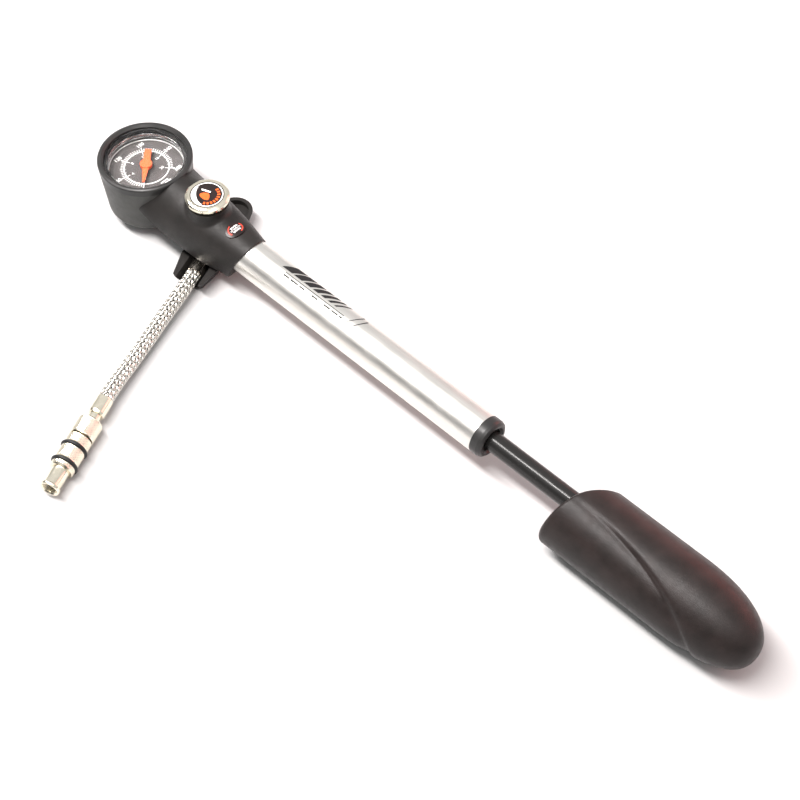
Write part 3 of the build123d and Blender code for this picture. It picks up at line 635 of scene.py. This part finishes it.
# ---------------------------------------------------------------- barrel print
def make_barrel_print():
    """Plain trim on the barrel: a run of slanted bars, a thin line, dashes and two curved strokes."""
    ink = print_ink("barrel_ink", (0.008, 0.008, 0.0085), 0.65)

    def round_barrel(x, along, level):
        """x from the origin, along round the barrel from its top towards -Y, in metres."""
        angle = math.radians(90) + along / BARREL_R
        r = BARREL_R + level
        return (x, r * math.cos(angle), AXIS_Z + r * math.sin(angle))

    def stroke(start, stop, low, high, lean, steps=8):
        """A slanted bar between two lengths, split round the barrel."""
        cells = []
        for k in range(steps):
            a, b = low + (high - low) * k / steps, low + (high - low) * (k + 1) / steps
            (left_a, right_a), (left_b, right_b) = (
                (start + lean * (t - low), stop + lean * (t - low)) for t in (a, b)
            )
            cells.append([(left_a, a), (right_a, a), (right_b, b), (left_b, b)])
        return cells

    def curved_stroke(foot_x, reach, steps=14):
        """A stroke that bends away round the barrel and widens."""
        cells = []
        for k in range(steps):
            ends = []
            for t in (k / steps, (k + 1) / steps):
                x = (foot_x + 5.5 * math.sin(t * 1.45)) * MM
                ends.append((x, (reach - 11.5 * t) * MM, (0.25 + 0.55 * t) * MM))
            (xa, ya, wide_a), (xb, yb, wide_b) = ends
            cells.append([(xa, ya), (xb, yb), (xb + wide_b, yb), (xa + wide_a, ya)])
        return cells

    cells = []
    place = 57.0
    bars = ((6.8, 1.2), (5.6, 1.4), (4.6, 1.6), (3.7, 1.8), (2.9, 2.0), (2.1, 2.2), (1.4, 2.4))
    for width, gap in bars:
        cells += stroke(place * MM, (place + width) * MM, -7.4 * MM, -1.1 * MM, -0.9)
        place += width + gap
    cells += stroke(55.4 * MM, 95.4 * MM, 0.2 * MM, 0.6 * MM, 0, 1)
    dashes = ((55.4, 59.4), (60.4, 65.4), (66.4, 69.8), (74.8, 78.8), (83.2, 87.4), (88.4, 92.6),
              (93.6, 95.4))
    for start, stop in dashes:
        cells += stroke(start * MM, stop * MM, 1.7 * MM, 2.5 * MM, 0.2, 1)
    cells += curved_stroke(96.8, 4.4) + curved_stroke(100.0, 5.6)
    trim = prisms("barrel_print", cells, -0.01 * MM, 0.035 * MM, ink, round_barrel)
    place_piece(trim, "barrel", "barrel_aluminium")


# ---------------------------------------------------------------- grip
GRIP_WALL = 2.3 * MM
GRIP_OFF = math.atan2(GRIP_CENTRE.z - AXIS_Z, GRIP_CENTRE.y)     # the side the grip is set off to
GRIP_ROLL = GRIP_OFF + math.pi                                   # the thin side, away from it
GRIP_COLUMNS = 224
NOSE_START = 305 * MM
NOSE_SHIFT = 1.6 * MM              # how far the tip lies off the grip's own middle
MOUTH_EASE = 45 * MM               # over this length the mouth's slant dies out
LIP_LENGTH, LIP_DROP = 1.6 * MM, 0.9 * MM
CREASE_START, CREASE_END = 245 * MM, 323.5 * MM
CREASE_EASE = 40 * MM              # over this length the crease grows to its depth
CREASE_DEPTH = 1.35 * MM
PANEL_RISE, SHELL_RISE = 5.5 * MM, 1.7 * MM    # how fast the surface comes back up on each side


def grip_outline(count):
    """Stations along the grip: (x, share of the full radius, shift of the middle)."""
    nose = 1 - (1 - np.linspace(0, 1, count)) ** 2.2
    nose[-1] = 1
    radius = np.clip(1 - nose ** 2.4, 0, 1) ** (1 / 2.35)
    stations = [(x, 1.0, 0.0) for x in np.linspace(GRIP_LOW.x, NOSE_START, count * 2)[:-1]]
    for t, r in zip(nose, radius):
        stations.append((NOSE_START + (GRIP_HIGH.x - NOSE_START) * t, r, NOSE_SHIFT * t * t))
    return stations


def crease_points():
    """The crease over the developed surface: (x, angle from the thin side)."""
    shares = np.sin(np.linspace(0, math.pi / 2, 160))
    angles = np.radians(76 + 104 * (1 - (1 - shares ** 2) ** 0.45))
    return np.stack([CREASE_START + (CREASE_END - CREASE_START) * shares, angles], axis=1)


def crease_depth(x, angle, line):
    """How far the surface falls at a point, from its distance to the crease."""
    folded = abs((angle + math.pi) % TAU - math.pi)
    away = np.hypot(line[:, 0] - x, (line[:, 1] - folded) * GRIP_R)
    nearest = int(np.argmin(away))
    distance = away[nearest]
    limit = np.interp(x, line[:, 0], line[:, 1])
    on_panel = folded > limit and x < CREASE_END
    share = np.clip((x - CREASE_START) / CREASE_EASE, 0, 1)
    deepest = (0.1 + 0.9 * share) * CREASE_DEPTH
    if on_panel:
        return deepest * math.exp(-distance / PANEL_RISE)
    return deepest * math.exp(-(distance / SHELL_RISE) ** 2)


def slanted(x, angle):
    """x carried back by the mouth's slant, which is least on the full side and most on the thin side."""
    c = (1 + math.cos(angle)) / 2
    mouth = (8 * c + 8 * c ** 6) * MM
    back = np.clip((x - GRIP_LOW.x) / MOUTH_EASE, 0, 1)
    return x + mouth * (1 - back) ** 2 * (1 + 2 * back)


def grip_point(x, angle, radius, shift=0.0):
    """A point round the grip's own middle, which lies beside the rod's and moves with shift."""
    turn = GRIP_ROLL + angle
    middle_y = GRIP_CENTRE.y - shift * math.cos(GRIP_ROLL)
    middle_z = GRIP_CENTRE.z - shift * math.sin(GRIP_ROLL)
    return (x, middle_y + radius * math.cos(turn), middle_z + radius * math.sin(turn))


def make_grip():
    """Bullet grip with a slanted mouth, a rolled lip and a crease between its shell and its panel."""
    line = crease_points()
    angles = [TAU * k / GRIP_COLUMNS for k in range(GRIP_COLUMNS)]
    points = []
    stations = grip_outline(44)
    for x, share, shift in stations:
        lip = np.clip((x - GRIP_LOW.x) / LIP_LENGTH, 0, 1)
        for angle in angles:
            at = slanted(x, angle)
            radius = GRIP_R * share - crease_depth(at, angle, line) * min(1, share * 1.2)
            radius -= LIP_DROP * (1 - lip) ** 2
            points.append(grip_point(at, angle, radius, shift))
    faces = lattice_faces(len(stations), GRIP_COLUMNS)

    # the cavity, as (depth, wall): round the lip and down to its floor
    first = len(points)
    inner = [(0.25 * MM, 1.25 * MM), (0.02 * MM, 1.75 * MM)]
    inner += [(depth * MM, GRIP_WALL) for depth in (1.2, 8, 30, 62)]
    for depth, wall in inner:
        for angle in angles:
            at = slanted(GRIP_LOW.x + depth, angle)
            points.append(grip_point(at, angle, GRIP_R - wall))
    for k in range(GRIP_COLUMNS):
        beside = (k + 1) % GRIP_COLUMNS
        faces.append((k, first + k, first + beside, beside))
    for row in range(len(inner) - 1):
        low, high = first + row * GRIP_COLUMNS, first + (row + 1) * GRIP_COLUMNS
        for k in range(GRIP_COLUMNS):
            beside = (k + 1) % GRIP_COLUMNS
            faces.append((low + k, high + k, high + beside, low + beside))
    last = first + (len(inner) - 1) * GRIP_COLUMNS
    faces.append(tuple(range(last + GRIP_COLUMNS - 1, last - 1, -1)))
    grip = add_mesh("grip", points, faces, MATERIALS["handle_plastic"])
    place_piece(grip, "handle", "handle_plastic", "handle_shell")


# ---------------------------------------------------------------- hose
CARRIERS = 10                      # bands of wire each way round
WIRES = 3                          # wires in a band
WIRE_R = 0.18 * MM
WIRE_SPACING = 2.1 * WIRE_R
LAY_R = HOSE_R - 2.2 * WIRE_R      # middle radius of the braid
WAVE = 1.15 * WIRE_R               # how far a wire goes over and under it
CORE_R = HOSE_R - 3.6 * WIRE_R
BRAID_LEAD = 32 * MM               # length of one turn of a band
BRAID_STEP = 0.42 * MM             # between the points along a wire


def hose_curve(name, radius):
    """The hose's smooth middle line, with a round section of radius."""
    data = bpy.data.curves.new(name, "CURVE")
    data.dimensions = "3D"
    spline = data.splines.new("NURBS")
    spline.points.add(len(HOSE_POINTS) - 1)
    for point, place in zip(spline.points, HOSE_POINTS):
        point.co = (*place, 1)
    spline.order_u = 3
    spline.use_endpoint_u = True
    spline.resolution_u = 24
    data.bevel_depth = radius
    data.bevel_resolution = 8
    thing = bpy.data.objects.new(name, data)
    bpy.context.scene.collection.objects.link(thing)
    return thing


def hose_line():
    """Points along the hose's smooth middle line."""
    bare = hose_curve("hose_line", 0)
    data = bpy.data.meshes.new_from_object(bare)
    line = np.array([v.co for v in data.vertices])
    bpy.data.objects.remove(bare)
    return line


def braid_lines(line):
    """The wires' own lines: bands that wind both ways and pass over and under each other."""
    steps = np.linalg.norm(np.diff(line, axis=0), axis=1)
    along = np.concatenate([[0], np.cumsum(steps)])
    total = along[-1]
    at = np.linspace(0, total, int(total / BRAID_STEP))
    middle = np.stack([np.interp(at, along, line[:, k]) for k in range(3)], axis=1)
    ahead = np.gradient(middle, axis=0)
    ahead /= np.linalg.norm(ahead, axis=1)[:, None]
    side = np.cross(ahead, (0, 0, 1.0))
    side /= np.linalg.norm(side, axis=1)[:, None]
    up = np.cross(side, ahead)
    slant = math.cos(math.atan(TAU * LAY_R / BRAID_LEAD))
    wires = []
    for way in (1, -1):
        for carrier in range(CARRIERS):
            start = TAU * carrier / CARRIERS
            for wire in range(WIRES):
                spread = (wire - (WIRES - 1) / 2) * WIRE_SPACING / LAY_R / slant
                angle = start + way * TAU * at / BRAID_LEAD + spread
                crossing = CARRIERS * (TAU * at / BRAID_LEAD + way * spread / 2)
                radius = LAY_R + way * WAVE * np.cos(crossing)
                beside, above = radius * np.cos(angle), radius * np.sin(angle)
                wires.append(middle + beside[:, None] * side + above[:, None] * up)
    return wires


def make_hose():
    """A rubber core with a steel braid over it."""
    line = hose_line()
    core = hose_curve("hose_core", CORE_R)
    core.data.materials.append(MATERIALS["seal_rubber"])
    place_piece(core, "hose_arm", "seal_rubber")
    braid = wires_to_mesh("hose_braid", braid_lines(line), WIRE_R, 6, MATERIALS["braid"])
    place_piece(braid, "hose_arm", "braid", "hose")


# ---------------------------------------------------------------- valve chuck
# in mm, as the profiles are: (radius, distance from the end of the hose's ferrule)
KNURL_TEETH = 34
KNURL_PITCH = 1.1                  # along the axis
KNURL_DEPTH = 0.2
KNURL_BORDER, KNURL_EASE = 0.15, 0.3   # plain edge of a band, and where the knurl grows
COLLAR_KNURL = (5.0, 14.0)
SLEEVE_KNURLS = [(15.6, 20.35), (22.65, 29.75), (32.05, 34.0)]
COLLAR_R, SLEEVE_R = 6.25, 6.1
THREAD_START, THREAD_STOP, THREAD_PITCH = 45.2, 40.2, 0.8
THREAD_R, THREAD_ROOT_R = 3.56, 3.8


def knurl(bands):
    """Depth of a diamond knurl at a point of the chuck, on the given spans of its length."""
    def relief(angle, along):
        edge = max(min(along - start, stop - along) for start, stop in bands)
        if edge < KNURL_BORDER:
            return 0.0
        turn, step = KNURL_TEETH * angle, TAU * along / KNURL_PITCH
        ridge = (2 + math.cos(turn + step) + math.cos(turn - step)) / 4
        return KNURL_DEPTH * (1 - ridge) * min(1, (edge - KNURL_BORDER) / KNURL_EASE)

    return relief


def banded(radius, start, stop):
    """Rows of a knurled band, close together."""
    count = int((stop - start) / 0.14)
    return [(radius, start + (stop - start) * k / count) for k in range(count + 1)]


def make_chuck():
    """The knurled collar, and the turning sleeve with its grooves, polished nose and threaded mouth."""
    rear, middle, front = SLEEVE_KNURLS
    collar = [(0.05, 0.02), (3.1, 0.02), (3.1, 4.4), (5.8, 4.4), *banded(COLLAR_R, *COLLAR_KNURL),
              (5.9, 14.5), (3.1, 14.5), (3.1, 33.0), (0.05, 33.0)]
    sleeve = [(3.2, 15.1), (5.7, 15.1), *banded(SLEEVE_R, *rear), (4.8, 20.37), (4.8, 22.63),
              *banded(SLEEVE_R, *middle), (4.8, 29.77), (4.8, 32.03), *banded(SLEEVE_R, *front),
              (5.6, 34.6), (4.45, 34.65), (4.4, 34.9), (4.4, 43.7), (4.45, 43.9), (5.0, 44.4),
              (5.0, 45.5), (4.85, 45.7), (4.7, 45.8), (4.1, 45.8)]
    for k in range(int((THREAD_START - THREAD_STOP) / THREAD_PITCH)):
        crest = THREAD_START - THREAD_PITCH * k
        sleeve += [(THREAD_R, crest), (THREAD_R, crest - 0.2), (THREAD_ROOT_R, crest - 0.4),
                   (THREAD_R, crest - 0.6)]
    sleeve += [(THREAD_R, THREAD_STOP), (3.9, 40.1), (3.9, 33.6), (3.2, 33.6)]
    relief = knurl([COLLAR_KNURL, *SLEEVE_KNURLS])
    for name, profile, body, node in (
        ("chuck_collar", collar, "hose_arm", "chuck_stem"),
        ("chuck_knurled_sleeve", sleeve, "chuck", "chuck_sleeve"),
    ):
        points, faces = lathe(profile, CHUCK_START, CHUCK_AXIS, KNURL_TEETH * 8, relief)
        piece = add_mesh(name, points, faces, MATERIALS["nickel"])
        crisp(piece)
        place_piece(piece, body, "nickel", node)


def crisp(piece):
    """Keeps the turned corners sharp while the round faces stay smooth."""
    with bpy.context.temp_override(object=piece, active_object=piece, selected_editable_objects=[piece]):
        bpy.ops.object.shade_smooth_by_angle(angle=math.radians(38))


# ---------------------------------------------------------------- floor, light and air
def make_studio():
    """A plain pale floor, air with a darker near side, and three soft lights."""
    floor = add_mesh(
        "floor", [(-3, -3, 0), (3, -3, 0), (3, 3, 0), (-3, 3, 0)], [(0, 1, 2, 3)],
        Finish("floor_white", (0.5, 0.5, 0.5), 0.9).material,
    )
    floor.location.z = -0.05 * MM
    bpy.context.scene.view_settings.view_transform = "Standard"
    world = bpy.data.worlds.new("air")
    bpy.context.scene.world = world
    world.use_nodes = True
    nodes, links = world.node_tree.nodes, world.node_tree.links
    where, split = nodes.new("ShaderNodeTexCoord"), nodes.new("ShaderNodeSeparateXYZ")
    links.new(where.outputs["Generated"], split.inputs["Vector"])

    def air_ramp(output, *stops):
        ramp = nodes.new("ShaderNodeValToRGB")
        while len(ramp.color_ramp.elements) < len(stops):
            ramp.color_ramp.elements.new(0.5)
        for element, (position, grey) in zip(ramp.color_ramp.elements, stops):
            element.position, element.color = position, (grey, grey, grey, 1)
        links.new(output, ramp.inputs["Fac"])
        return ramp.outputs["Color"]

    # a dark strip of room over the near horizon, and a pale one over the far horizon
    near = air_ramp(split.outputs["Z"], (0.0, 0.6), (0.3, 0.16), (0.5, 0.18), (0.62, 0.9), (1.0, 0.9))
    far = air_ramp(split.outputs["Z"], (0.0, 0.7), (0.5, 0.75), (1.0, 0.9))
    side = nodes.new("ShaderNodeMapRange")
    side.interpolation_type = "SMOOTHSTEP"
    side.inputs["From Min"].default_value = -0.35
    side.inputs["From Max"].default_value = 0.25
    links.new(split.outputs["Y"], side.inputs["Value"])
    mix = nodes.new("ShaderNodeMix")
    mix.data_type = "RGBA"
    links.new(side.outputs["Result"], mix.inputs["Factor"])
    # the node's sockets of one name differ by type only, and the colours come after the vectors
    near_colour, far_colour = mix.inputs[6:8]
    mixed_colour = mix.outputs[2]
    links.new(near, near_colour)
    links.new(far, far_colour)
    links.new(mixed_colour, nodes["Background"].inputs["Color"])
    nodes["Background"].inputs["Strength"].default_value = 1.0

    def softbox(name, aim, direction, distance, size, power, colour=(1, 1, 1)):
        """A rectangular light at distance from aim, turned to it."""
        data = bpy.data.lights.new(name, "AREA")
        data.shape = "RECTANGLE"
        data.size, data.size_y = size
        data.energy, data.color = power, colour
        lamp = bpy.data.objects.new(name, data)
        towards = Vector(direction).normalized()
        level = Vector((1, 0, 0))
        level = (level - level.project(towards)).normalized()
        turn = Matrix((level, towards.cross(level), towards)).transposed()
        lamp.matrix_world = Matrix.Translation(Vector(aim) + towards * distance) @ turn.to_4x4()
        bpy.context.scene.collection.objects.link(lamp)

    aim = (0.14, 0, AXIS_Z)
    softbox("key", aim, (-0.3, -0.26, 0.9), 1.1, (1.25, 0.17), 29, (1.0, 0.96, 0.945))
    softbox("fill", aim, (0.35, -0.1, 0.9), 1.6, (1.2, 1.2), 5)
    softbox("rim", GRIP_CENTRE, (0.15, 1.0, 0.32), 0.5, (0.6, 0.25), 1.3, (1.0, 0.22, 0.19))


make_camera()
make_materials()
make_hose()
make_chuck()
make_dial()
make_lens_edges()
make_button_print()
make_bleed_coil()
make_badge_print()
make_barrel_print()
make_grip()
frame["nodes"]["gauge_lens"].visible_shadow = False     # light falls through it on the dial
make_studio()
